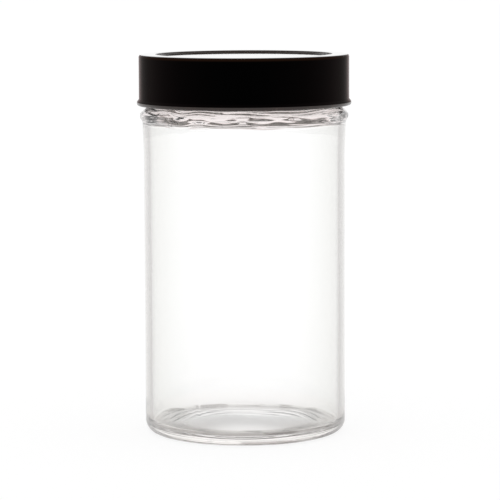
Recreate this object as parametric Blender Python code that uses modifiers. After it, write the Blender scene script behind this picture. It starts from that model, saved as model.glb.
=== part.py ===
"""Straight-sided glass food jar with a deep metal twist-off lid, in metres, +Z up, standing on z = 0.

Three pieces: the moulded jar, the pressed lid with its rolled curl and inward lugs, and the sealing ring in it.
The four lugs of the lid pass down between four helical ramps on the glass neck and turn in under them.
"""

import math

import bmesh
import bpy
from mathutils import Matrix, Vector

# Smoothness of the round shapes
SEGMENTS = 64
CHORD_ERROR = 0.00008
DOME_STEPS = 3
SHARP_DEG = 50
MERGE = 0.00001

# Gap between pieces that rest on each other
SEAT_GAP = 0.0003

# Lid: a 70 mm deep lug cap
LID_RADIUS = 0.0363
LID_HEIGHT = 0.01755
SHEET = 0.00025
TOP_CORNER = 0.0010
RING_WIDTH = 0.0061
PANEL_DEPTH = 0.00065
PANEL_FILLET = 0.0004
CURL_WIDTH = 0.00116
CURL_HEIGHT = 0.0017
CURL_SET_OUT = 0.00015
CURL_FLARE = 0.00045
CURL_FLARE_ROUND = 0.0006
CURL_START_DEG = 50
CURL_END_DEG = -200
CURL_STEPS = 10

# Lugs, pressed inwards from the curl
LUG_COUNT = 4
LUG_WIDTH = 0.0088
LUG_TIP_WIDTH_SHARE = 0.72
LUG_TIP_ROUND = 0.0013
LUG_THICKNESS = 0.0009
LUG_CLEARANCE = 0.0004
LUG_ROOT_STEPS = 4

# Sealing ring
GASKET_THICKNESS = 0.0012
GASKET_EDGE = 0.0004

# Jar
JAR_HEIGHT = 0.1292
BODY_SET_IN = 0.00145
WALL = 0.0022
HEEL_RADIUS = 0.0060
BEARING_WIDTH = 0.0022
PUSH_UP = 0.0015
BASE_THICKNESS = 0.0033
FLOOR_CROWN = 0.0008

# Inside of the heel: the wall thickens towards the base, then turns into the floor
INNER_HEEL_RADIUS = 0.0050
INNER_HEEL_SET_IN = 0.0014
INNER_HEEL_HEIGHT = 0.0120
INNER_HEEL_START_ROUND = 0.0080

# Neck and the transfer bead that stands out below the lid
NECK_WALL = 0.0024
LIP_ROUND = 0.0011
COLLAR_GAP = 0.0003
COLLAR_DROP = 0.00255
BEAD_STANDS_OUT = 0.00120
BEAD_HEIGHT = 0.0013
BEAD_ROUND = 0.0010
UNDER_BEAD_STANDS_OUT = 0.00038
UNDER_BEAD_DROP = 0.0014
SHOULDER_LENGTH = 0.0106
SHOULDER_ROUND = 0.0060

# Inside of the neck: the wall follows the bead out a little, then comes in to the bore
SWELL_STANDS_OUT = 0.0004
SWELL_ABOVE_BEAD_BOTTOM = 0.0002
SWELL_LENGTH = 0.0028
BORE_BELOW_COLLAR = 0.00085
INNER_NECK_ROUND = 0.0020

# Helical ramps on the neck
RAMP_DEPTH = 0.00145
RAMP_PASS_CLEARANCE = 0.0010
RAMP_ROOT_HEIGHT = 0.0023
RAMP_CREST_HEIGHT = 0.0011
RAMP_RISE = 0.0019
RAMP_LUG_CLEARANCE = 0.0004
RAMP_SINK = 0.0006
RAMP_SWEEP_SHARE = 0.69
RAMP_RUN_OUT_SHARE = 0.22
RAMP_END_DEPTH_SHARE = 0.3
RAMP_STEPS = 14

# Sizes that follow from those above
SKIRT_INNER = LID_RADIUS - SHEET
CURL_CENTRE = LID_RADIUS + CURL_SET_OUT
CURL_INNER = CURL_CENTRE - CURL_WIDTH / 2
RECESS_RADIUS = LID_RADIUS - RING_WIDTH
GASKET_OUTER = SKIRT_INNER - SEAT_GAP
GASKET_INNER = RECESS_RADIUS + SHEET + SEAT_GAP

CREST_RADIUS = CURL_INNER - RAMP_PASS_CLEARANCE
NECK_RADIUS = CREST_RADIUS - RAMP_DEPTH
BORE_RADIUS = NECK_RADIUS - NECK_WALL
BODY_RADIUS = LID_RADIUS - BODY_SET_IN
INNER_RADIUS = BODY_RADIUS - WALL
LUG_TIP_RADIUS = NECK_RADIUS + LUG_CLEARANCE

LID_TOP = JAR_HEIGHT + SEAT_GAP + GASKET_THICKNESS + SEAT_GAP + SHEET
LID_BOTTOM = LID_TOP - LID_HEIGHT
CURL_Z = LID_BOTTOM + CURL_HEIGHT / 2
LUG_TOP = CURL_Z + LUG_THICKNESS / 2
RAMP_LOW = LUG_TOP + RAMP_LUG_CLEARANCE + RAMP_ROOT_HEIGHT / 2
COLLAR_TOP = LID_BOTTOM - COLLAR_GAP
BEAD_TOP = COLLAR_TOP - COLLAR_DROP
BEAD_BOTTOM = BEAD_TOP - BEAD_HEIGHT
SHOULDER_TOP = BEAD_BOTTOM - UNDER_BEAD_DROP
SHOULDER_BOTTOM = SHOULDER_TOP - SHOULDER_LENGTH

# Colour, roughness, metallic and transmission of each material
GLASS = ((0.93, 0.95, 0.94), 0.03, 0.0, 1.0)
LACQUER = ((0.012, 0.011, 0.012), 0.28, 0.0, 0.0)
PLASTISOL = ((0.80, 0.77, 0.70), 0.45, 0.0, 0.0)


def clear_scene():
    for obj in list(bpy.data.objects):
        bpy.data.objects.remove(obj, do_unlink=True)


def new_collection(name, hidden=False):
    collection = bpy.data.collections.new(name)
    collection.hide_render = hidden
    bpy.context.scene.collection.children.link(collection)
    return collection


def new_material(name, colour, roughness, metallic, transmission):
    material = bpy.data.materials.new(name)
    material.use_nodes = True
    shader = material.node_tree.nodes["Principled BSDF"]
    shader.inputs["Base Color"].default_value = (*colour, 1)
    shader.inputs["Roughness"].default_value = roughness
    shader.inputs["Metallic"].default_value = metallic
    shader.inputs["Transmission Weight"].default_value = transmission
    material.diffuse_color = (*colour, 1)
    return material


def arc(centre, width, height, start_deg, end_deg, steps):
    """Points along part of a circle or an oval, both ends included."""
    x, y = centre
    angles = [math.radians(start_deg + (end_deg - start_deg) * i / steps) for i in range(steps + 1)]
    return [(x + width / 2 * math.cos(a), y + height / 2 * math.sin(a)) for a in angles]


def fillet(before, corner, after, radius):
    """The arc that rounds one corner of an outline. It never takes more than half of a neighbouring edge."""
    corner = Vector(corner)
    back, ahead = Vector(before) - corner, Vector(after) - corner
    half = back.angle(ahead) / 2
    reach = min(radius / math.tan(half), back.length / 2, ahead.length / 2)
    radius = reach * math.tan(half)
    start = corner + back.normalized() * reach
    end = corner + ahead.normalized() * reach
    centre = corner + (back.normalized() + ahead.normalized()).normalized() * (radius / math.sin(half))
    turn = math.pi - 2 * half
    step = 2 * math.acos(max(1 - CHORD_ERROR / radius, 0))
    steps = math.ceil(turn / step)
    spoke = start - centre
    side = 1 if spoke.cross(end - centre) > 0 else -1
    return [tuple(centre + Matrix.Rotation(side * turn * i / steps, 2) @ spoke) for i in range(steps + 1)]


def rounded(outline):
    """An outline of (r, z) or (r, z, fillet radius) points, with its corners rounded."""
    points = []
    for i, point in enumerate(outline):
        if len(point) == 2:
            points.append(point)
        else:
            points += fillet(outline[i - 1][:2], point[:2], outline[i + 1][:2], point[2])
    return points


def dome(radius, edge_z, rise):
    """Points from the axis out to the edge of a shallow dome, without the edge itself."""
    shares = [i / DOME_STEPS for i in range(DOME_STEPS)]
    return [(radius * share, edge_z + rise * (1 - share**2)) for share in shares]


def turned(name, outline, closed=False):
    """A shape turned about Z from an (r, z) outline that runs down its outer side."""
    mesh = bpy.data.meshes.new(name)
    edges = [(i, i + 1) for i in range(len(outline) - 1)]
    if closed:
        edges.append((len(outline) - 1, 0))
    mesh.from_pydata([(r, 0, z) for r, z in outline], edges, [])
    obj = bpy.data.objects.new(name, mesh)
    screw = obj.modifiers.new("turn", "SCREW")
    screw.axis = "Z"
    screw.steps = SEGMENTS
    screw.render_steps = SEGMENTS
    screw.use_merge_vertices = True
    screw.merge_threshold = MERGE
    return obj


def add_union(obj, others):
    union = obj.modifiers.new("join", "BOOLEAN")
    union.operation = "UNION"
    union.solver = "EXACT"
    union.object = others


def finished(obj, material, parts):
    """Links a piece, applies its modifiers and shades its round faces smooth."""
    parts.objects.link(obj)
    graph = bpy.context.evaluated_depsgraph_get()
    mesh = bpy.data.meshes.new_from_object(obj.evaluated_get(graph))
    obj.modifiers.clear()
    obj.data = mesh
    mesh.name = obj.name
    mesh.materials.clear()
    mesh.materials.append(material)
    mesh.shade_smooth()
    mesh.set_sharp_from_angle(angle=math.radians(SHARP_DEG))
    return obj


def jar_outline():
    """From the middle of the inner floor, up the bore, over the lip, down the outside and under the base."""
    inner_foot = INNER_RADIUS - INNER_HEEL_SET_IN
    inner_floor = inner_foot - INNER_HEEL_RADIUS
    bearing = BODY_RADIUS - HEEL_RADIUS - BEARING_WIDTH
    bead = BODY_RADIUS + BEAD_STANDS_OUT
    under_bead = BODY_RADIUS + UNDER_BEAD_STANDS_OUT
    swell_z = BEAD_BOTTOM + SWELL_ABOVE_BEAD_BOTTOM
    floor = dome(inner_floor, BASE_THICKNESS, FLOOR_CROWN)
    under = dome(bearing, 0, PUSH_UP)
    inside = [
        (inner_floor, BASE_THICKNESS),
        (inner_foot, BASE_THICKNESS, INNER_HEEL_RADIUS),
        (INNER_RADIUS, INNER_HEEL_HEIGHT, INNER_HEEL_START_ROUND),
        (INNER_RADIUS, swell_z - SWELL_LENGTH, INNER_NECK_ROUND),
        (INNER_RADIUS + SWELL_STANDS_OUT, swell_z, INNER_NECK_ROUND),
        (BORE_RADIUS, COLLAR_TOP - BORE_BELOW_COLLAR, INNER_NECK_ROUND),
        (BORE_RADIUS, JAR_HEIGHT, LIP_ROUND),
    ]
    outside = [
        (NECK_RADIUS, JAR_HEIGHT, LIP_ROUND),
        (NECK_RADIUS, COLLAR_TOP, BEAD_ROUND),
        (bead, BEAD_TOP, BEAD_ROUND),
        (bead, BEAD_BOTTOM, BEAD_ROUND),
        (under_bead, SHOULDER_TOP, BEAD_ROUND),
        (BODY_RADIUS, SHOULDER_BOTTOM, SHOULDER_ROUND),
        (BODY_RADIUS, 0, HEEL_RADIUS),
        (bearing, 0),
    ]
    return rounded(floor + inside + outside + under[::-1])


def ramp_section(angle, share, z):
    """The four corners of a ramp's section, which is deep along the ramp and runs out at both ends."""
    from_end = min(share, 1 - share) / RAMP_RUN_OUT_SHARE
    swell = math.sin(min(from_end, 1) * math.pi / 2)
    depth = RAMP_DEPTH * (RAMP_END_DEPTH_SHARE + (1 - RAMP_END_DEPTH_SHARE) * swell)
    root, crest = NECK_RADIUS - RAMP_SINK, NECK_RADIUS + depth
    corners = [
        (root, z + RAMP_ROOT_HEIGHT / 2),
        (root, z - RAMP_ROOT_HEIGHT / 2),
        (crest, z - RAMP_CREST_HEIGHT / 2),
        (crest, z + RAMP_CREST_HEIGHT / 2),
    ]
    return [Vector((r * math.cos(angle), r * math.sin(angle), height)) for r, height in corners]


def neck_ramps():
    """One mesh with a helical ramp for each lug. Each rises anticlockwise, seen from above, past the gap."""
    sector = 2 * math.pi / LUG_COUNT
    shape = bmesh.new()
    for k in range(LUG_COUNT):
        rings = []
        for i in range(RAMP_STEPS + 1):
            share = i / RAMP_STEPS
            angle = sector * (k + 0.5 + RAMP_SWEEP_SHARE * (share - 0.5))
            section = ramp_section(angle, share, RAMP_LOW + RAMP_RISE * share)
            rings.append([shape.verts.new(point) for point in section])
        for first, second in zip(rings, rings[1:]):
            for a in range(len(first)):
                b = (a + 1) % len(first)
                shape.faces.new((first[a], first[b], second[b], second[a]))
        shape.faces.new(rings[0])
        shape.faces.new(rings[-1])
    return mesh_object("neck_ramps", shape)


def lid_lugs():
    """One mesh with the lugs: flat tabs, narrower at the tip, that reach inwards from inside the curl."""
    half_turn = math.degrees(LUG_WIDTH / 2 / CURL_CENTRE)
    root = arc((0, 0), 2 * CURL_CENTRE, 2 * CURL_CENTRE, -half_turn, half_turn, LUG_ROOT_STEPS)
    narrow = LUG_WIDTH / 2 * LUG_TIP_WIDTH_SHARE
    outline = root[1:-1] + rounded([
        root[-1],
        (LUG_TIP_RADIUS, narrow, LUG_TIP_ROUND),
        (LUG_TIP_RADIUS, -narrow, LUG_TIP_ROUND),
        root[0],
    ])
    shape = bmesh.new()
    for k in range(LUG_COUNT):
        turn = Matrix.Rotation(2 * math.pi * k / LUG_COUNT, 3, "Z")
        corners = [turn @ Vector((x, y, CURL_Z - LUG_THICKNESS / 2)) for x, y in outline]
        face = shape.faces.new([shape.verts.new(corner) for corner in corners])
        made = bmesh.ops.extrude_face_region(shape, geom=[face], use_keep_orig=True)["geom"]
        raised = [item for item in made if isinstance(item, bmesh.types.BMVert)]
        bmesh.ops.translate(shape, verts=raised, vec=(0, 0, LUG_THICKNESS))
    return mesh_object("lid_lugs", shape)


def mesh_object(name, shape):
    bmesh.ops.recalc_face_normals(shape, faces=shape.faces)
    mesh = bpy.data.meshes.new(name)
    shape.to_mesh(mesh)
    shape.free()
    return bpy.data.objects.new(name, mesh)


def as_helper(obj, helpers):
    obj.hide_render = True
    obj.display_type = "WIRE"
    helpers.objects.link(obj)
    return obj


def lid_outline():
    """The lid's outer face: panel, wall of the recess, raised ring, skirt, and the roll of the curl."""
    centre = (CURL_CENTRE, CURL_Z)
    curl = arc(centre, CURL_WIDTH, CURL_HEIGHT, CURL_START_DEG, CURL_END_DEG, CURL_STEPS)
    face = [
        (0, LID_TOP - PANEL_DEPTH),
        (RECESS_RADIUS, LID_TOP - PANEL_DEPTH, PANEL_FILLET),
        (RECESS_RADIUS, LID_TOP, PANEL_FILLET),
        (LID_RADIUS, LID_TOP, TOP_CORNER),
        (LID_RADIUS, CURL_Z + CURL_HEIGHT / 2 + CURL_FLARE, CURL_FLARE_ROUND),
        curl[0],
    ]
    return rounded(face) + curl[1:]


def gasket_outline():
    top = LID_TOP - SHEET - SEAT_GAP
    bottom = JAR_HEIGHT + SEAT_GAP
    middle = (GASKET_INNER + GASKET_OUTER) / 2
    return rounded([
        (middle, top),
        (GASKET_OUTER, top, GASKET_EDGE),
        (GASKET_OUTER, bottom, GASKET_EDGE),
        (GASKET_INNER, bottom, GASKET_EDGE),
        (GASKET_INNER, top, GASKET_EDGE),
        (middle, top),
    ])[:-1]


def make_jar(parts, helpers):
    jar = turned("jar_body", jar_outline())
    add_union(jar, as_helper(neck_ramps(), helpers))
    return finished(jar, new_material("clear_glass", *GLASS), parts)


def make_lid(parts, helpers):
    lid = turned("lid_shell", lid_outline())
    shell = lid.modifiers.new("sheet", "SOLIDIFY")
    shell.thickness = SHEET
    shell.offset = -1
    shell.use_even_offset = True
    add_union(lid, as_helper(lid_lugs(), helpers))
    return finished(lid, new_material("black_lacquer", *LACQUER), parts)


def make_gasket(parts):
    gasket = turned("lid_gasket", gasket_outline(), closed=True)
    return finished(gasket, new_material("plastisol", *PLASTISOL), parts)


def make_axis(pieces, parts):
    """An empty on the lid's axis, at the sealing lip, that carries the pieces that lift off together."""
    axis = bpy.data.objects.new("lid_axis", None)
    axis.location = (0, 0, JAR_HEIGHT)
    parts.objects.link(axis)
    bpy.context.view_layer.update()
    for piece in pieces:
        piece.parent = axis
        piece.matrix_parent_inverse = axis.matrix_world.inverted()


def main():
    clear_scene()
    parts = new_collection("glass_jar")
    helpers = new_collection("helpers", hidden=True)
    make_jar(parts, helpers)
    shell = make_lid(parts, helpers)
    gasket = make_gasket(parts)
    make_axis([shell, gasket], parts)


main()
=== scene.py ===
"""Looks of the glass jar and its black lid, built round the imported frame, in metres, +Z up.

The photo's camera looks along +Y. Each piece replaces one CAD node and rides on that node's body.
"""

import math

import bpy
from mathutils import Matrix, Vector, noise


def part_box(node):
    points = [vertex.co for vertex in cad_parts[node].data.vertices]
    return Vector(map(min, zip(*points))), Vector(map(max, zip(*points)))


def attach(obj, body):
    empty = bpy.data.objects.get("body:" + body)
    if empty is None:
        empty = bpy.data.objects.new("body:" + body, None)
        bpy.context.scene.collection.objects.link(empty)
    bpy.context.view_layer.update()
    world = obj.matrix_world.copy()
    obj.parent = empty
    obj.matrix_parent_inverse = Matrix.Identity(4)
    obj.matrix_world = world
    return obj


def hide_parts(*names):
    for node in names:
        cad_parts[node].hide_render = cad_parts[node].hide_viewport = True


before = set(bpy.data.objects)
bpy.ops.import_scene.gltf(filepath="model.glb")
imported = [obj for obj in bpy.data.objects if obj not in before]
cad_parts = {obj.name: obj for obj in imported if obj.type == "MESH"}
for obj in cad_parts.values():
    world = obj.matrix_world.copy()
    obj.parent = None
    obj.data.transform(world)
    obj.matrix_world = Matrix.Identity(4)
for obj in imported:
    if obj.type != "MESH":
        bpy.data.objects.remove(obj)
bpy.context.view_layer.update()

# Fineness of the meshes, and how near a point has to be to count as on the axis or on the neck
JAR_COLUMNS = 384
LID_COLUMNS = 360
RING_COLUMNS = 192
DOME_STEPS = 12
FILLET_CHORD = 0.00001
FILLET_LEAST_STEPS = 3
WAVY_STEP = 0.00025
NECK_STEP = 0.0008
WALL_STEP = 0.0060
HEEL_STEP = 0.0011
PANEL_STEP = 0.003
RIM_STEP = 0.0004
SKIRT_STEP = 0.002
SEAL_STEP = 0.0011
ON_AXIS = 1e-9
ON_NECK = 1e-6

# Sizes read off the frame
BEAD_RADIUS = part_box("jar_body")[1].x
JAR_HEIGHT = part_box("jar_body")[1].z
CURL_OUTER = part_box("lid_shell")[1].x
LID_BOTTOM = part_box("lid_shell")[0].z
LID_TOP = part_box("lid_shell")[1].z
SEAL_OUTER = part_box("lid_gasket")[1].x
SEAL_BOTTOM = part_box("lid_gasket")[0].z
SEAL_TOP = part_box("lid_gasket")[1].z

# Jar, as insets from the bead's radius and drops from the lid's lower edge
BODY_RADIUS = BEAD_RADIUS - 0.0012
WALL = 0.0022
INNER_RADIUS = BODY_RADIUS - WALL
BORE_RADIUS = BEAD_RADIUS - 0.00503
NECK_RADIUS = BORE_RADIUS + 0.0024
LIP_ROUND = 0.0011
COLLAR_TOP = LID_BOTTOM - 0.0003
BEAD_TOP = COLLAR_TOP - 0.00255
BEAD_BOTTOM = BEAD_TOP - 0.0013
BEAD_ROUND = 0.0010
UNDER_BEAD_RADIUS = BODY_RADIUS + 0.00038
SHOULDER_TOP = BEAD_BOTTOM - 0.0014
SHOULDER_BOTTOM = SHOULDER_TOP - 0.0106
SHOULDER_ROUND = 0.0060
INNER_SWELL = 0.0004
INNER_SWELL_Z = BEAD_BOTTOM + 0.0014
INNER_SWELL_BOTTOM = BEAD_BOTTOM - 0.0014
INNER_SHOULDER_TOP = COLLAR_TOP - 0.0004
INNER_SHOULDER_ROUND = 0.0020
HEEL_ROUND = 0.0060
BEARING_WIDTH = 0.0022
BEARING_ROUND = 0.0006
PUSH_UP = 0.0027
PUSH_UP_AIM_RADIUS_SHARE = 0.9
PUSH_UP_AIM_RISE_SHARE = 0.19
PUSH_UP_GAP = 0.001
BASE_THICKNESS = 0.0033
FLOOR_CROWN = 0.0018
INNER_HEEL_ROUND = 0.0050
INNER_HEEL_TOP = 0.0120
INNER_HEEL_IN = 0.0002
INNER_HEEL_START_ROUND = 0.0080

# Ramps on the neck
RAMP_COUNT = 4
RAMP_DEPTH = 0.00145
RAMP_LOW = LID_BOTTOM + 0.00285
RAMP_RISE = 0.0019
RAMP_CREST_HALF = 0.0005
RAMP_ROOT_HALF = 0.00115
RAMP_SWEEP = math.radians(62)
RAMP_RUN_OUT = 0.22
RAMP_ZONE_BOTTOM = LID_BOTTOM + 0.001
RAMP_ZONE_TOP = LID_BOTTOM + 0.0085

# Mould seam, and the knurled ring under the base, with the radii between which it fades in and out
SEAM_AZIMUTH = math.radians(-117)
SEAM_HALF_WIDTH = 0.0003
SEAM_HEIGHT = 0.00006
KNURL_COUNT = 96
KNURL_HEIGHT = 0.00014
KNURL_TOP = 0.0009
KNURL_IN = (0.0270, 0.0279)
KNURL_OUT = (0.0304, 0.0320)

# Waves of the glass: depth, lumps per metre, how many times as many along Z, and where they fade
WALL_WAVE = 0.00016
WALL_WAVE_SCALE = 55
WALL_WAVE_Z_RATE = 0.35
WALL_WAVE_START = (0.006, 0.014)
WALL_WAVE_END = (JAR_HEIGHT - 0.008, JAR_HEIGHT - 0.004)
OUTER_WAVE = 0.00003
OUTER_WAVE_SCALE = 40
OUTER_WAVE_Z_RATE = 0.4
OUTER_WAVE_START = (0.004, 0.010)
OUTER_WAVE_INSET = 0.001
WAVY_TOP = COLLAR_TOP + 0.0030
WAVY_BOTTOM = BEAD_BOTTOM - 0.0030
WAVY_FADE = 0.0015
NECK_WAVE = 0.0016
NECK_WAVE_Z = COLLAR_TOP - 0.0020
NECK_WAVE_SPREAD = 0.0026
NECK_WAVE_SCALE = 70
NECK_WAVE_Z_RATE = 26
NECK_WANDER = 0.0010
NECK_WANDER_SCALE = 100

# Lid
SHEET = 0.00025
CURL_WIDTH = 0.00116
CURL_HEIGHT = 0.0017
CURL_CENTRE = CURL_OUTER - CURL_WIDTH / 2
CURL_Z = LID_BOTTOM + CURL_HEIGHT / 2
LID_RADIUS = CURL_CENTRE - 0.00015
RING_WIDTH = 0.0061
RECESS_RADIUS = LID_RADIUS - RING_WIDTH
PANEL_DEPTH = 0.00065
PANEL_FILLET = 0.0004
TOP_CORNER = 0.0010
RIM_BOTTOM = LID_TOP - 2 * TOP_CORNER
RECESS_WALL_LIMIT = LID_RADIUS - 1.5 * TOP_CORNER
CURL_FLARE = 0.00045
CURL_FLARE_ROUND = 0.0006
CURL_FROM = 50
CURL_TO = -200
CURL_STEPS = 40
CURL_GLOSS_FROM = 4
GLOSS_TILT = math.radians(12)
LUG_COUNT = 4
LUG_HALF_ANGLE = math.radians(6.9)
LUG_FADE = (LUG_HALF_ANGLE * 0.72, LUG_HALF_ANGLE * 1.15)
LUG_PUSH = 0.0019
LUG_START_DEGREES = 80
LUG_FULL_DEGREES = 165

# Places of the lid's materials in its list
SKIRT, INSIDE, FLAT_TOP, CURL, RECESS_WALL = range(5)

# Sealing ring
SEAL_CLEARANCE = 0.0003
SEAL_ROUND = 0.0004

# Painted shade of the glass: its tone against the share that it turns from the eye, greyer towards its
# outline
WHITE = (1.0, 1.0, 1.0)
FACING_BLEND = 0.5
EDGE_PAINTED_SHADE_TONES = (
    (0.0, WHITE), (1.0, (0.66, 0.64, 0.63)), (0.13, (0.97, 0.97, 0.965)), (0.30, (0.88, 0.885, 0.865)),
    (0.47, (0.79, 0.79, 0.765)), (0.57, (0.71, 0.705, 0.685)), (0.605, (0.61, 0.60, 0.585)),
    (0.64, (0.42, 0.40, 0.39)), (0.68, (0.36, 0.34, 0.33)), (0.76, (0.43, 0.41, 0.40)),
    (0.86, (0.50, 0.48, 0.47)),
)
GLASS_IOR = 1.51

# The heel and neck: how much of the wall's painted edge shade the heel takes, and their own painted shade,
# per surface: darker, in patches and warmer low on the heel, and pinkish under the lid
OUTSIDE_SKIN = 0.0012
HEEL_EDGE = 0.6
HEEL_EDGE_SPAN = (HEEL_ROUND * 0.6, HEEL_ROUND * 1.2)
HEEL_SHADE_TOP = 0.0026
HEEL_PAINTED_SHADE_TONES = (
    (0.0, (0.97, 0.955, 0.94)), (1.0, (0.50, 0.48, 0.47)), (0.10, (0.94, 0.925, 0.91)),
    (0.22, (0.78, 0.765, 0.75)), (0.45, (0.60, 0.585, 0.575)),
)
HEEL_WARMTH = (1.0, 0.978, 0.964)
HEEL_WARM_TOP = 0.010
HEEL_WARM_FULL = 0.006
NECK_PAINTED_SHADE_TINT = (0.87, 0.81, 0.80)
NECK_SHADE_TOP = COLLAR_TOP + 0.001
HEEL_SHADE_PATCH_TINT = (0.36, 0.34, 0.33)
HEEL_SHADE_PATCH_SCALE = 88
HEEL_SHADE_PATCH_STRETCH = (1, 1, 4)
HEEL_SHADE_PATCH_RANGE = (0.48, 0.60)

# Painted sheen of the black lacquer: its tone against the same share, on top of its weak gloss, and a
# painted highlight along the top corner between two heights
LACQUER_PAINTED_SHEEN_TONES = (
    (0.0, (0.0003, 0.0003, 0.0003)), (1.0, (0.13, 0.065, 0.062)), (0.2, (0.0015, 0.0010, 0.0010)),
    (0.35, (0.0030, 0.0021, 0.0021)), (0.52, (0.0058, 0.0038, 0.0036)), (0.64, (0.0052, 0.0032, 0.0024)),
    (0.72, (0.0060, 0.0024, 0.0014)), (0.76, (0.011, 0.005, 0.003)), (0.80, (0.026, 0.012, 0.009)),
    (0.86, (0.065, 0.032, 0.029)),
)
LACQUER_IOR = 1.04
LACQUER_ROUGHNESS = (0.17, 0.24)
CORNER_PAINTED_HIGHLIGHT = (0.0125, 0.0055, 0.0030)
CORNER_HIGHLIGHT_SPAN = (LID_TOP - 1.4 * TOP_CORNER, LID_TOP - 0.6 * TOP_CORNER)

# Two tones that the noise goes between, and the roughness that follows it, for the other finishes
PANEL_TONES = ((0.005, 0.0045, 0.0045), (0.008, 0.007, 0.007))
PANEL_ROUGHNESS = (0.02, 0.05)
PANEL_COAT_ROUGHNESS = 0.03
CURL_TONES = ((0.008, 0.007, 0.007), (0.022, 0.016, 0.014))
CURL_ROUGHNESS = (0.17, 0.28)
CURL_SHEEN = (1.0, 0.86, 0.80)
# The recess wall's two tones are a painted brown sheen
RECESS_PAINTED_SHEEN_TONES = ((0.026, 0.015, 0.010), (0.042, 0.025, 0.018))
RECESS_ROUGHNESS = (0.22, 0.32)
RECESS_IOR = 1.25
INSIDE_TONES = ((0.78, 0.76, 0.70), (0.70, 0.69, 0.66))
INSIDE_ROUGHNESS = (0.26, 0.38)
PLASTISOL_TONES = ((0.83, 0.80, 0.73), (0.76, 0.73, 0.66))
PLASTISOL_ROUGHNESS = (0.42, 0.58)

# Fine detail, in lumps per metre, how many finer layers it has, and how deep it is
PATCH_SCALE = 90
PEEL_SCALE = 1400
WEAR_AND_SHEEN_SCALE = 300
ROLLING_SCALE = 900
ROLLING_STRETCH = (1, 0.06, 1)
DIMPLE_SCALE = 2200
FINE_LAYERS = 2
STREAK_LAYERS = 3
CLOUD_LAYERS = 4
NOISE_SPAN = (0.3, 0.7)
WEAR_SPAN = (0.45, 0.7)
PEEL_HEIGHT = 0.000012
PANEL_PEEL_HEIGHT = PEEL_HEIGHT / 4
ROLLING_HEIGHT = PEEL_HEIGHT / 2
DIMPLE_HEIGHT = 0.00003

# Camera, fitted to the jar's outline in the photo
CAMERA_DISTANCE = 0.9054
CAMERA_HEIGHT = 0.1684
CAMERA_ASIDE = 0.00183
CAMERA_PITCH = 6.632
CAMERA_ROLL = -0.24
LENS_PIXELS = 2621
PHOTO_PIXELS = 500
SENSOR = 36
LIGHT_BOUNCES = 32

# Floor: its glow and colour for the eye, and for the glass, with a painted shadow against the distance from
# the jar and a painted light spot off its axis, warmer where darker
FLOOR_RADIUS = 12.0
FLOOR_SIDES = 64
EYE_GLOW = 0.88
EYE_ALBEDO = 0.13
SEEN_GLOW = 0.66
SEEN_ALBEDO = 0.4
FLOOR_TONE_REACH = 0.4
FLOOR_PAINTED_SHADOW_TONES = ((0, 0.40), (0.026, 0.40), (0.030, 0.95), (0.1, 0.98), (0.4, 1.0))
SHADE_WARMTH = 0.06
LIGHT_SPOT_CENTRE = -0.018
LIGHT_SPOT_TONES = ((0, 0.95), (0.004, 0.95), (0.020, 0.40), (0.4, 0.40))


def arc(centre, width, height, start_deg, end_deg, steps):
    """Points along part of an oval, both ends included."""
    r, z = centre
    angles = [math.radians(start_deg + (end_deg - start_deg) * i / steps) for i in range(steps + 1)]
    return [(r + width / 2 * math.cos(a), z + height / 2 * math.sin(a)) for a in angles]


def fillet(before, corner, after, radius):
    """The arc that rounds one corner of an outline."""
    corner = Vector(corner)
    back, ahead = Vector(before) - corner, Vector(after) - corner
    half = back.angle(ahead) / 2
    reach = min(radius / math.tan(half), back.length / 2, ahead.length / 2)
    radius = reach * math.tan(half)
    start = corner + back.normalized() * reach
    end = corner + ahead.normalized() * reach
    centre = corner + (back.normalized() + ahead.normalized()).normalized() * (radius / math.sin(half))
    turn = math.pi - 2 * half
    steps = max(FILLET_LEAST_STEPS, math.ceil(turn / (2 * math.acos(1 - FILLET_CHORD / radius))))
    spoke = start - centre
    side = 1 if spoke.cross(end - centre) > 0 else -1
    return [tuple(centre + Matrix.Rotation(side * turn * i / steps, 2) @ spoke) for i in range(steps + 1)]


def rounded(outline):
    """An outline of (r, z) or (r, z, fillet radius) points, with its corners rounded."""
    points = []
    for i, point in enumerate(outline):
        if len(point) == 2:
            points.append(point)
        else:
            points += fillet(outline[i - 1][:2], point[:2], outline[i + 1][:2], point[2])
    return points


def divided(points, longest):
    """The outline with its long edges divided, so that no edge is longer than asked at its middle."""
    out = [points[0]]
    for a, b in zip(points, points[1:]):
        length = math.dist(a, b)
        steps = max(1, math.ceil(length / longest((a[0] + b[0]) / 2, (a[1] + b[1]) / 2)))
        for i in range(1, steps + 1):
            out.append((a[0] + (b[0] - a[0]) * i / steps, a[1] + (b[1] - a[1]) * i / steps))
    return out


def dome(radius, edge_z, rise):
    """A shallow arch from the axis towards the radius, whose edge point is left out."""
    shares = [i / DOME_STEPS for i in range(DOME_STEPS)]
    return [(radius * share, edge_z + rise * (1 - share**2)) for share in shares]


def smoothstep(low, high, x):
    """0 below low, 1 above high and smooth between them."""
    t = min(max((x - low) / (high - low), 0), 1)
    return t * t * (3 - 2 * t)


def off_sector(angle, count):
    """The angle from the middle of its own sector, of count equal sectors."""
    sector = 2 * math.pi / count
    return (angle % sector) - sector / 2


def around(angle, radius, z, scale):
    """A point on a cylinder, scaled for the noise."""
    return Vector((math.cos(angle) * radius, math.sin(angle) * radius, z)) * scale


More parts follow.
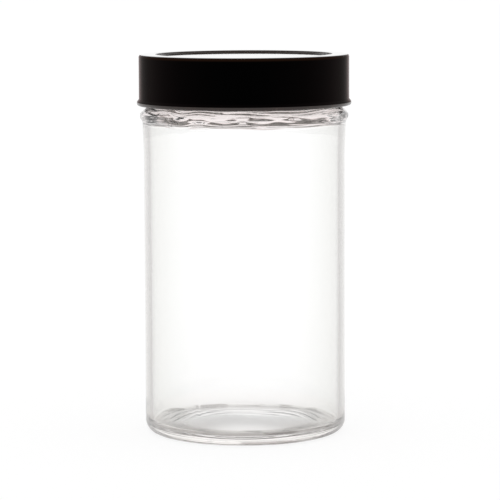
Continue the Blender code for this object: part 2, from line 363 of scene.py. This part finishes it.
def surface_of_revolution(name, outline, columns, place, material_of, materials):
    """Turns an outline that starts and ends on the axis, or is closed, about Z into a smooth mesh."""
    on_axis = outline[0][0] < ON_AXIS and outline[-1][0] < ON_AXIS
    ring_points = outline[1:-1] if on_axis else outline
    vertices, faces, indices = [], [], []
    for i, (r, z) in enumerate(ring_points):
        row = i + 1 if on_axis else i
        for j in range(columns):
            angle = 2 * math.pi * j / columns
            pr, pz = place(angle, row, r, z)
            vertices.append((pr * math.cos(angle), pr * math.sin(angle), pz))
    count = len(ring_points)
    pairs = list(zip(range(count - 1), range(1, count))) + ([] if on_axis else [(count - 1, 0)])
    for i, k in pairs:
        for j in range(columns):
            n = (j + 1) % columns
            faces.append((i * columns + j, k * columns + j, k * columns + n, i * columns + n))
            indices.append(material_of(i))
    if on_axis:
        for at, i, flip in ((outline[0], 0, False), (outline[-1], count - 1, True)):
            vertices.append((0, 0, at[1]))
            pole = len(vertices) - 1
            for j in range(columns):
                n = (j + 1) % columns
                a, b = i * columns + j, i * columns + n
                faces.append((pole, a, b) if not flip else (pole, b, a))
                indices.append(material_of(i))
    mesh = bpy.data.meshes.new(name)
    mesh.from_pydata(vertices, [], faces)
    for material in materials:
        mesh.materials.append(material)
    mesh.polygons.foreach_set("material_index", indices)
    mesh.polygons.foreach_set("use_smooth", [True] * len(faces))
    mesh.update()
    obj = bpy.data.objects.new(name, mesh)
    bpy.context.scene.collection.objects.link(obj)
    return obj


def inner_wave(angle, r, z):
    """How far the inside of the glass stands out at a point: gentle on the wall, streaky at the neck."""
    fade = smoothstep(*WALL_WAVE_START, z) * (1 - smoothstep(*WALL_WAVE_END, z))
    wave = WALL_WAVE * noise.noise(around(angle, r, z * WALL_WAVE_Z_RATE, WALL_WAVE_SCALE))
    near_neck = math.exp(-((z - NECK_WAVE_Z) / NECK_WAVE_SPREAD) ** 2)
    near_neck *= smoothstep(0, WAVY_FADE, z - WAVY_BOTTOM) * smoothstep(0, WAVY_FADE, WAVY_TOP - z)
    wander = NECK_WANDER * noise.noise(around(angle, r, 0, NECK_WANDER_SCALE))
    streak_z = (z + wander) * NECK_WAVE_Z_RATE
    wave += NECK_WAVE * near_neck * noise.noise(around(angle, r, streak_z, NECK_WAVE_SCALE))
    return wave * fade


def outer_radius(angle, r, z):
    """The radius of the outside of the wall at a point, with its faint waves and the two mould seams."""
    off = (angle - SEAM_AZIMUTH + math.pi / 2) % math.pi - math.pi / 2
    seam = SEAM_HEIGHT * math.exp(-((off * r / SEAM_HALF_WIDTH) ** 2))
    wave = OUTER_WAVE * noise.noise(around(angle, r, z * OUTER_WAVE_Z_RATE, OUTER_WAVE_SCALE))
    return r + seam + wave * smoothstep(*OUTER_WAVE_START, z)


def ramp(angle, z):
    """How far the neck's ramps stand out at a point."""
    share = off_sector(angle, RAMP_COUNT) / RAMP_SWEEP + 0.5
    if not 0 < share < 1:
        return 0
    swell = smoothstep(0, RAMP_RUN_OUT, min(share, 1 - share))
    off = abs(z - RAMP_LOW - RAMP_RISE * share)
    return RAMP_DEPTH * swell * (1 - smoothstep(RAMP_CREST_HALF, RAMP_ROOT_HALF, off))


def knurl(angle, r):
    """How far the knurl lifts the underside at a point, between its teeth."""
    tooth = 0.5 + 0.5 * math.cos(KNURL_COUNT * angle)
    across = smoothstep(*KNURL_IN, r) * (1 - smoothstep(*KNURL_OUT, r))
    return KNURL_HEIGHT * (1 - tooth**2) * across


def make_jar(glass):
    """The jar as one surface, from its inner floor up over the lip and down to the underside."""
    inner_floor = INNER_RADIUS - INNER_HEEL_IN - INNER_HEEL_ROUND
    bearing_inner = BODY_RADIUS - HEEL_ROUND - BEARING_WIDTH
    inside = rounded([
        (inner_floor, BASE_THICKNESS),
        (INNER_RADIUS - INNER_HEEL_IN, BASE_THICKNESS, INNER_HEEL_ROUND),
        (INNER_RADIUS, INNER_HEEL_TOP, INNER_HEEL_START_ROUND),
        (INNER_RADIUS, WAVY_BOTTOM),
        (INNER_RADIUS, INNER_SWELL_BOTTOM, INNER_SHOULDER_ROUND),
        (INNER_RADIUS + INNER_SWELL, INNER_SWELL_Z, INNER_SHOULDER_ROUND),
        (BORE_RADIUS, INNER_SHOULDER_TOP, INNER_SHOULDER_ROUND),
        (BORE_RADIUS, WAVY_TOP),
        (BORE_RADIUS, JAR_HEIGHT, LIP_ROUND),
        (NECK_RADIUS, JAR_HEIGHT),
    ])[:-1]
    outside = rounded([
        (BORE_RADIUS, JAR_HEIGHT),
        (NECK_RADIUS, JAR_HEIGHT, LIP_ROUND),
        (NECK_RADIUS, COLLAR_TOP, BEAD_ROUND),
        (BEAD_RADIUS, BEAD_TOP, BEAD_ROUND),
        (BEAD_RADIUS, BEAD_BOTTOM, BEAD_ROUND),
        (UNDER_BEAD_RADIUS, SHOULDER_TOP, BEAD_ROUND),
        (BODY_RADIUS, SHOULDER_BOTTOM, SHOULDER_ROUND),
        (BODY_RADIUS, 0, HEEL_ROUND),
        (bearing_inner, 0, BEARING_ROUND),
        (bearing_inner * PUSH_UP_AIM_RADIUS_SHARE, PUSH_UP * PUSH_UP_AIM_RISE_SHARE),
    ])[1:-1]
    under = dome(bearing_inner, 0, PUSH_UP)
    under = [p for p in under if p[0] < outside[-1][0] - PUSH_UP_GAP]
    floor = dome(inner_floor, BASE_THICKNESS, FLOOR_CROWN)

    def wall_step(z):
        return WALL_STEP if z > INNER_HEEL_TOP else HEEL_STEP

    def inside_step(r, z):
        return WAVY_STEP if WAVY_BOTTOM < z < WAVY_TOP else wall_step(z)

    def outside_step(r, z):
        return NECK_STEP if z > WAVY_BOTTOM else wall_step(z)

    inside = divided(floor + inside, inside_step)
    outside = divided(outside + under[::-1], outside_step)
    inner_rows = len(inside)

    def place(angle, row, r, z):
        if row < inner_rows:
            return r + inner_wave(angle, r, z), z
        if r > NECK_RADIUS - ON_NECK and RAMP_ZONE_BOTTOM < z < RAMP_ZONE_TOP:
            return r + ramp(angle, z), z
        if r > KNURL_IN[0] and z < KNURL_TOP:
            return r, z + knurl(angle, r)
        if r > BODY_RADIUS - OUTER_WAVE_INSET:
            return outer_radius(angle, r, z), z
        return r, z

    return surface_of_revolution("glass_jar", inside + outside, JAR_COLUMNS, place, lambda i: 0, [glass])


def make_lid(materials):
    """The cap, with its materials in order: skirt, inside, flat top, curl and recess wall."""
    curl = arc((CURL_CENTRE, CURL_Z), CURL_WIDTH, CURL_HEIGHT, CURL_FROM, CURL_TO, CURL_STEPS)
    face = rounded([
        (0, LID_TOP - PANEL_DEPTH),
        (RECESS_RADIUS, LID_TOP - PANEL_DEPTH, PANEL_FILLET),
        (RECESS_RADIUS, LID_TOP, PANEL_FILLET),
        (LID_RADIUS, LID_TOP, TOP_CORNER),
        (LID_RADIUS, LID_BOTTOM + CURL_HEIGHT + CURL_FLARE, CURL_FLARE_ROUND),
        curl[0],
    ])[:-1]

    def step(r, z):
        if r < RECESS_RADIUS - PANEL_STEP:
            return PANEL_STEP
        return RIM_STEP if z > RIM_BOTTOM else SKIRT_STEP

    face = divided(face, step)
    curl_start = len(face)
    outer = face + curl
    outer_count = len(outer)

    def inward(i):
        """The sheet's direction into the lid at a point of its outer side."""
        a, b = outer[max(i - 1, 0)], outer[min(i + 1, outer_count - 1)]
        along = Vector((b[0] - a[0], b[1] - a[1])).normalized()
        return Vector((along.y, -along.x))

    inner = []
    for i in range(outer_count - 1, -1, -1):
        n = inward(i)
        inner.append((max(outer[i][0] + n.x * SHEET, 0), outer[i][1] + n.y * SHEET))
    inner[-1] = (0, outer[0][1] - SHEET)
    outline = outer + inner

    def place(angle, row, r, z):
        k = row if row < outer_count else 2 * outer_count - 1 - row
        if k < curl_start:
            return r, z
        share = (k - curl_start) / CURL_STEPS
        turn = CURL_FROM + (CURL_TO - CURL_FROM) * share
        local = abs(off_sector(angle + math.pi / LUG_COUNT, LUG_COUNT))
        lug = 1 - smoothstep(*LUG_FADE, local)
        reach = smoothstep(LUG_START_DEGREES, LUG_FULL_DEGREES, -turn)
        return r - LUG_PUSH * lug * reach, z

    def material_of(i):
        if i >= outer_count - 1:
            return INSIDE
        if i >= curl_start:
            return CURL if i >= curl_start + CURL_GLOSS_FROM else SKIRT
        (r, z), (next_r, next_z) = outline[i], outline[i + 1]
        if abs(next_z - z) < math.tan(GLOSS_TILT) * abs(next_r - r):
            return FLAT_TOP
        return RECESS_WALL if r < RECESS_WALL_LIMIT else SKIRT

    return surface_of_revolution("lid_cap", outline, LID_COLUMNS, place, material_of, materials)


def make_seal(plastisol):
    """The sealing ring with its rounded edges, under the lid's raised ring."""
    inner = RECESS_RADIUS + SHEET + SEAL_CLEARANCE
    middle = (inner + SEAL_OUTER) / 2
    outline = rounded([
        (middle, SEAL_TOP),
        (SEAL_OUTER, SEAL_TOP, SEAL_ROUND),
        (SEAL_OUTER, SEAL_BOTTOM, SEAL_ROUND),
        (inner, SEAL_BOTTOM, SEAL_ROUND),
        (inner, SEAL_TOP, SEAL_ROUND),
        (middle, SEAL_TOP),
    ])[:-1]
    outline = divided(outline + [outline[0]], lambda r, z: SEAL_STEP)[:-1]

    def place(angle, row, r, z):
        return r, z

    return surface_of_revolution("seal_ring", outline, RING_COLUMNS, place, lambda i: 0, [plastisol])


class Graph:
    """The nodes of a material or world. Most of its calls add nodes and return their output socket."""

    def __init__(self, owner):
        owner.use_nodes = True
        self.nodes, self.links = owner.node_tree.nodes, owner.node_tree.links

    def add(self, kind, **settings):
        """A new shader node, with its settings, such as its operation."""
        node = self.nodes.new("ShaderNode" + kind)
        for name, value in settings.items():
            setattr(node, name, value)
        return node

    def feed(self, socket, value):
        """Links an input socket to another socket, or sets it to a plain number, vector or colour."""
        if isinstance(value, bpy.types.NodeSocket):
            self.links.new(value, socket)
        else:
            socket.default_value = (*value, 1) if socket.type == "RGBA" else value

    def dress(self, node, values):
        """Feeds several inputs of a node by their names."""
        for name, value in values.items():
            self.feed(node.inputs[name], value)

    def computed(self, operation, *operands):
        """The result of one scalar operation on sockets and numbers."""
        node = self.add("Math", operation=operation)
        for operand, socket in zip(operands, node.inputs):
            self.feed(socket, operand)
        return node.outputs[0]

    def vector_computed(self, operation, *operands):
        """The result of one vector operation on sockets and vectors."""
        node = self.add("VectorMath", operation=operation)
        for operand, socket in zip(operands, node.inputs):
            self.feed(socket, operand)
        return node.outputs["Value" if operation == "DISTANCE" else "Vector"]

    def hypotenuse(self, a, b):
        """The distance that a and b make at right angles to each other."""
        squares = self.computed("ADD", self.computed("POWER", a, 2), self.computed("POWER", b, 2))
        return self.computed("SQRT", squares)

    def excess(self, a, b):
        """How far a is over b, and 0 where it isn't."""
        return self.computed("MAXIMUM", self.computed("SUBTRACT", a, b), 0)

    def remapped(self, source, low, high, out_low=0.0, out_high=1.0):
        """A value that goes smoothly from out_low to out_high as the source goes from low to high."""
        step = self.add("MapRange", interpolation_type="SMOOTHSTEP")
        self.dress(step, {"Value": source, "From Min": low, "From Max": high})
        self.dress(step, {"To Min": out_low, "To Max": out_high})
        return step.outputs[0]

    def mixed(self, share, first, second, blend="MIX"):
        """A colour between two colours, each a socket or a plain colour."""
        node = self.add("Mix", data_type="RGBA", blend_type=blend)
        self.feed(node.inputs["Factor"], share)
        for colour, socket in zip((first, second), [s for s in node.inputs if s.type == "RGBA"]):
            self.feed(socket, colour)
        return [s for s in node.outputs if s.type == "RGBA"][0]

    def coordinates(self):
        """The X, Y and Z of a point on the piece."""
        place = self.add("TexCoord")
        split = self.add("SeparateXYZ")
        self.feed(split.inputs[0], place.outputs["Object"])
        return split.outputs

    def grain(self, scale, layers, stretch=(1, 1, 1)):
        """Noise fixed to the piece, with its scale in lumps per metre."""
        place = self.add("TexCoord")
        stretched = self.vector_computed("MULTIPLY", place.outputs["Object"], stretch)
        texture = self.add("TexNoise")
        self.dress(texture, {"Scale": scale, "Detail": layers, "Vector": stretched})
        return texture.outputs["Fac"]

    def add_bump(self, shader, height, distance):
        """Lets a height tilt the shader's surface, by at most the distance in metres."""
        bump = self.add("Bump")
        self.dress(bump, {"Strength": 1, "Distance": distance, "Height": height})
        self.dress(shader, {"Normal": bump.outputs[0]})

    def distance_ramp(self, distance, tones):
        """The grey tone of the floor's painted shade for a distance, from (distance, tone) pairs, warmer
        where it is darker.
        """
        share = self.computed("DIVIDE", distance, FLOOR_TONE_REACH)
        ramp_node = self.add("ValToRGB")
        ramp_node.color_ramp.interpolation = "EASE"
        self.dress(ramp_node, {"Fac": share})
        stops = ramp_node.color_ramp.elements
        while len(stops) < len(tones):
            stops.new(1)
        for stop, (at, tone) in zip(stops, tones):
            warm = 1 - SHADE_WARMTH * (1 - tone)
            stop.position = at / FLOOR_TONE_REACH
            stop.color = (tone, tone * warm, tone * warm**2, 1)
        return ramp_node.outputs["Color"]

    def facing_ramp(self, tones, upright=False):
        """The colour for the share that the surface turns from the eye, from (share, colour) pairs.

        The pairs start with those for 0 and 1, which a new ramp has. Upright takes every face as
        standing upright, so that a round heel has the tone of the wall above it.
        """
        weight = self.add("LayerWeight")
        self.dress(weight, {"Blend": FACING_BLEND})
        if upright:
            geometry = self.add("NewGeometry")
            flat = self.vector_computed("MULTIPLY", geometry.outputs["Normal"], (1, 1, 0))
            self.dress(weight, {"Normal": self.vector_computed("NORMALIZE", flat)})
        ramp_node = self.add("ValToRGB")
        self.dress(ramp_node, {"Fac": weight.outputs["Facing"]})
        stops = ramp_node.color_ramp.elements
        for i, (share, colour) in enumerate(tones):
            stop = stops[i] if i < 2 else stops.new(share)
            stop.position = share
            stop.color = (*colour, 1)
        return ramp_node.outputs["Color"]


def new_material(name):
    """A new material, with its graph and its shader."""
    material = bpy.data.materials.new(name)
    graph = Graph(material)
    return material, graph, graph.nodes["Principled BSDF"]


def glass_material():
    """Clear glass with painted shade: greyer towards its outline, darker in patches on the heel and pinkish
    under the lid.
    """
    material, graph, shader = new_material("clear_glass")
    x, y, z = graph.coordinates()

    # 1 on the outer skin of the glass and 0 inside it, by the distance from the heel's centre line
    beyond = graph.excess(graph.hypotenuse(x, y), BODY_RADIUS - HEEL_ROUND)
    below = graph.excess(HEEL_ROUND, z)
    out_by = graph.hypotenuse(beyond, below)
    outside = graph.remapped(out_by, HEEL_ROUND - OUTSIDE_SKIN, HEEL_ROUND - OUTSIDE_SKIN / 2)

    # 1 below the bead, and 1 low on the heel
    under_bead = graph.remapped(z, BEAD_BOTTOM, WAVY_BOTTOM)
    heel = graph.remapped(z, HEEL_SHADE_TOP, HEEL_SHADE_TOP / 2)

    # The wall's painted shade, greyer towards its outline
    edge_share = graph.computed("MULTIPLY", outside, under_bead)
    above_heel = graph.remapped(z, *HEEL_EDGE_SPAN, HEEL_EDGE, 1)
    edge_share = graph.computed("MULTIPLY", edge_share, above_heel)
    body = graph.mixed(edge_share, WHITE, graph.facing_ramp(EDGE_PAINTED_SHADE_TONES, upright=True))

    # The heel's painted shade, in patches low down, and warmer than the wall
    shade_patches = graph.remapped(graph.grain(HEEL_SHADE_PATCH_SCALE, STREAK_LAYERS, HEEL_SHADE_PATCH_STRETCH), *HEEL_SHADE_PATCH_RANGE)
    patchy_shade = graph.mixed(shade_patches, WHITE, HEEL_SHADE_PATCH_TINT)
    patchy_shade = graph.mixed(1.0, patchy_shade, graph.facing_ramp(HEEL_PAINTED_SHADE_TONES, upright=True), "MULTIPLY")
    heel_tone = graph.mixed(graph.computed("MULTIPLY", outside, heel), WHITE, patchy_shade)
    warm = graph.remapped(z, HEEL_WARM_TOP, HEEL_WARM_FULL)
    warm_tone = graph.mixed(graph.computed("MULTIPLY", outside, warm), WHITE, HEEL_WARMTH)
    heel_tone = graph.mixed(1.0, heel_tone, warm_tone, "MULTIPLY")

    # The neck's painted pinkish shade under the lid
    above = graph.remapped(z, WAVY_BOTTOM, BEAD_BOTTOM)
    under = graph.remapped(z, NECK_SHADE_TOP, COLLAR_TOP)
    neck_shade = graph.mixed(graph.computed("MULTIPLY", above, under), WHITE, NECK_PAINTED_SHADE_TINT)

    tone = graph.mixed(1.0, graph.mixed(1.0, body, heel_tone, "MULTIPLY"), neck_shade, "MULTIPLY")
    graph.dress(shader, {"Base Color": tone, "Roughness": 0, "IOR": GLASS_IOR, "Transmission Weight": 1})
    return material


def lacquer_material():
    """Black lacquer with a painted sheen: dark where it faces the eye, a warm grey at its outline, and a
    painted highlight along the top corner.
    """
    material, graph, shader = new_material("black_lacquer")
    # A painted highlight along the top corner, over the painted sheen towards the outline
    corner = graph.remapped(graph.coordinates()["Z"], *CORNER_HIGHLIGHT_SPAN)
    tone = graph.mixed(corner, graph.facing_ramp(LACQUER_PAINTED_SHEEN_TONES), CORNER_PAINTED_HIGHLIGHT, "LIGHTEN")
    roughness = graph.remapped(graph.grain(PATCH_SCALE, CLOUD_LAYERS), *NOISE_SPAN, *LACQUER_ROUGHNESS)
    graph.dress(shader, {"Base Color": tone, "IOR": LACQUER_IOR, "Roughness": roughness})
    graph.add_bump(shader, graph.grain(PEEL_SCALE, FINE_LAYERS), PEEL_HEIGHT)
    return material


def panel_material():
    """The same lacquer on the flat top, glossier, which mirrors the backdrop."""
    material, graph, shader = new_material("black_lacquer_top")
    patches = graph.grain(PATCH_SCALE, CLOUD_LAYERS)
    graph.dress(shader, {
        "Base Color": graph.mixed(patches, *PANEL_TONES),
        "Roughness": graph.remapped(patches, *NOISE_SPAN, *PANEL_ROUGHNESS),
        "Coat Weight": 1,
        "Coat Roughness": PANEL_COAT_ROUGHNESS,
    })
    graph.add_bump(shader, graph.grain(PEEL_SCALE, FINE_LAYERS), PANEL_PEEL_HEIGHT)
    return material


def curl_material():
    """The same lacquer where the sheet is bent sharply, a little worn and warmer."""
    material, graph, shader = new_material("black_lacquer_curl")
    wear_and_sheen = graph.grain(WEAR_AND_SHEEN_SCALE, CLOUD_LAYERS)
    graph.dress(shader, {
        "Base Color": graph.mixed(graph.remapped(wear_and_sheen, *WEAR_SPAN), *CURL_TONES),
        "Roughness": graph.remapped(wear_and_sheen, *NOISE_SPAN, *CURL_ROUGHNESS),
        "Specular Tint": CURL_SHEEN,
    })
    graph.add_bump(shader, graph.grain(PEEL_SCALE, FINE_LAYERS), PEEL_HEIGHT)
    return material


def recess_material():
    """The same lacquer on the low wall between the ring and the panel, with a painted brown sheen on it."""
    material, graph, shader = new_material("black_lacquer_recess")
    wear_and_sheen = graph.grain(WEAR_AND_SHEEN_SCALE, CLOUD_LAYERS)
    graph.dress(shader, {
        "Base Color": graph.mixed(wear_and_sheen, *RECESS_PAINTED_SHEEN_TONES),
        "Roughness": graph.remapped(wear_and_sheen, *NOISE_SPAN, *RECESS_ROUGHNESS),
        "IOR": RECESS_IOR,
    })
    return material


def inside_material():
    """Pale lacquer on the inside of the cap, with the sheet's rolling grain under it."""
    material, graph, shader = new_material("pale_inside_lacquer")
    tone = graph.mixed(graph.grain(PATCH_SCALE, CLOUD_LAYERS), *INSIDE_TONES)
    rolling = graph.grain(ROLLING_SCALE, STREAK_LAYERS, ROLLING_STRETCH)
    roughness = graph.remapped(rolling, *NOISE_SPAN, *INSIDE_ROUGHNESS)
    graph.dress(shader, {"Base Color": tone, "Roughness": roughness})
    graph.add_bump(shader, rolling, ROLLING_HEIGHT)
    return material


def plastisol_material():
    """Soft cream sealing compound, matt and finely dimpled."""
    material, graph, shader = new_material("cream_plastisol")
    tone = graph.mixed(graph.grain(PATCH_SCALE, CLOUD_LAYERS), *PLASTISOL_TONES)
    dimples = graph.grain(DIMPLE_SCALE, FINE_LAYERS)
    roughness = graph.remapped(dimples, *NOISE_SPAN, *PLASTISOL_ROUGHNESS)
    graph.dress(shader, {"Base Color": tone, "Roughness": roughness})
    graph.add_bump(shader, dimples, DIMPLE_HEIGHT)
    return material


def floor_material():
    """Plain white to the eye; for what the glass shows of the floor, a painted shadow under the jar with a
    painted light spot off its axis.
    """
    material = bpy.data.materials.new("studio_floor")
    graph = Graph(material)
    graph.nodes.clear()
    out = graph.add("OutputMaterial")
    path = graph.add("LightPath")
    place = graph.add("NewGeometry")
    shades = []
    # A painted shadow under the jar, lightened by a painted light spot off its axis
    for centre, tones in ((0, FLOOR_PAINTED_SHADOW_TONES), (LIGHT_SPOT_CENTRE, LIGHT_SPOT_TONES)):
        far = graph.vector_computed("DISTANCE", place.outputs["Position"], (0, centre, 0))
        shades.append(graph.distance_ramp(far, tones))
    seen_tone = graph.mixed(1.0, *shades, "LIGHTEN")
    looks = []
    for strength, albedo, colour in ((EYE_GLOW, EYE_ALBEDO, WHITE), (SEEN_GLOW, SEEN_ALBEDO, seen_tone)):
        diffuse = graph.add("BsdfDiffuse")
        graph.dress(diffuse, {"Color": (albedo, albedo, albedo)})
        glow = graph.add("Emission")
        graph.dress(glow, {"Color": colour, "Strength": strength})
        both = graph.add("AddShader")
        graph.feed(both.inputs[0], diffuse.outputs[0])
        graph.feed(both.inputs[1], glow.outputs[0])
        looks.append(both.outputs[0])
    mix = graph.add("MixShader")
    eye_look, seen_look = looks
    graph.feed(mix.inputs["Fac"], path.outputs["Is Camera Ray"])
    graph.feed(mix.inputs[1], seen_look)
    graph.feed(mix.inputs[2], eye_look)
    graph.dress(out, {"Surface": mix.outputs[0]})
    return material


def make_floor():
    """A wide disc that the jar stands on."""
    mesh = bpy.data.meshes.new("floor")
    turns = [2 * math.pi * i / FLOOR_SIDES for i in range(FLOOR_SIDES)]
    corners = [(FLOOR_RADIUS * math.cos(a), FLOOR_RADIUS * math.sin(a), 0) for a in turns]
    mesh.from_pydata(corners, [], [list(range(FLOOR_SIDES))])
    mesh.materials.append(floor_material())
    floor = bpy.data.objects.new("floor", mesh)
    bpy.context.scene.collection.objects.link(floor)


def make_world():
    """White light from all round."""
    world = bpy.data.worlds.new("studio")
    bpy.context.scene.world = world
    graph = Graph(world)
    graph.nodes.clear()
    out = graph.add("OutputWorld")
    background = graph.add("Background")
    graph.dress(background, {"Color": WHITE, "Strength": 1})
    graph.dress(out, {"Surface": background.outputs[0]})


def make_camera():
    """The camera as it was fitted to the photo."""
    data = bpy.data.cameras.new("camera")
    data.sensor_width = SENSOR
    data.lens = LENS_PIXELS / PHOTO_PIXELS * SENSOR
    camera = bpy.data.objects.new("camera", data)
    bpy.context.scene.collection.objects.link(camera)
    pitch = Matrix.Rotation(math.radians(90 - CAMERA_PITCH), 4, "X")
    roll = Matrix.Rotation(math.radians(CAMERA_ROLL), 4, "Z")
    place = Matrix.Translation((CAMERA_ASIDE, -CAMERA_DISTANCE, CAMERA_HEIGHT))
    camera.matrix_world = place @ (pitch @ roll)
    bpy.context.scene.camera = camera


jar = make_jar(glass_material())
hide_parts("jar_body")
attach(jar, "jar")

cap = make_lid([lacquer_material(), inside_material(), panel_material(), curl_material(), recess_material()])
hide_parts("lid_shell")
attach(cap, "lid")

seal = make_seal(plastisol_material())
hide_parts("lid_gasket")
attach(seal, "seal")

make_floor()
make_world()
make_camera()
scene = bpy.context.scene
scene.view_settings.view_transform = "Standard"
scene.cycles.max_bounces = LIGHT_BOUNCES
scene.cycles.transmission_bounces = LIGHT_BOUNCES
scene.cycles.glossy_bounces = LIGHT_BOUNCES
